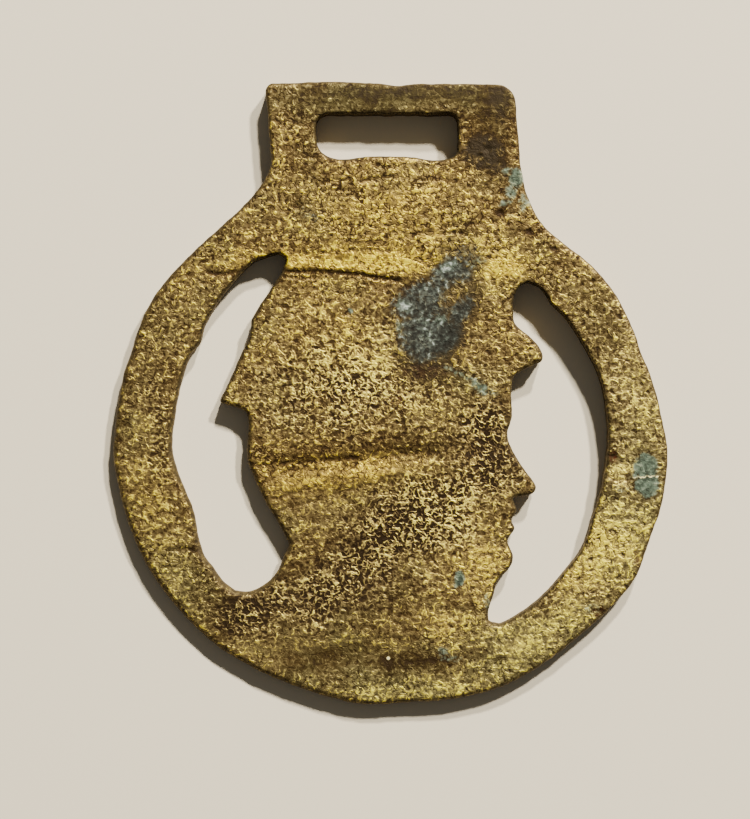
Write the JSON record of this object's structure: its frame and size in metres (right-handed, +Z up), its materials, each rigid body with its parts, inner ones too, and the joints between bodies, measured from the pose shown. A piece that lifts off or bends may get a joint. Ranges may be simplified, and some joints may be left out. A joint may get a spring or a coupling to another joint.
{
  "type": "horse brass",
  "caption": "Cast brass harness ornament: a pierced round frame around a hatted head in profile, with a slotted strap hanger on top, lying on its front.",
  "frame": {"origin": "centre of the bounding box, on the plane of the front face that the brass lies on", "axes": "+Z up through the plate towards its rough back, +Y from the foot of the round frame to the strap hanger, +X the way the head faces"},
  "size_m": [0.0782, 0.0878, 0.004],
  "materials": {
    "cast_brass": "rough as cast, gold on the high grain with brown oxide in the hollows and spots of green verdigris"
  },
  "bodies": {
    "root": {"horse_brass": "cast_brass"}
  },
  "joints": []
}
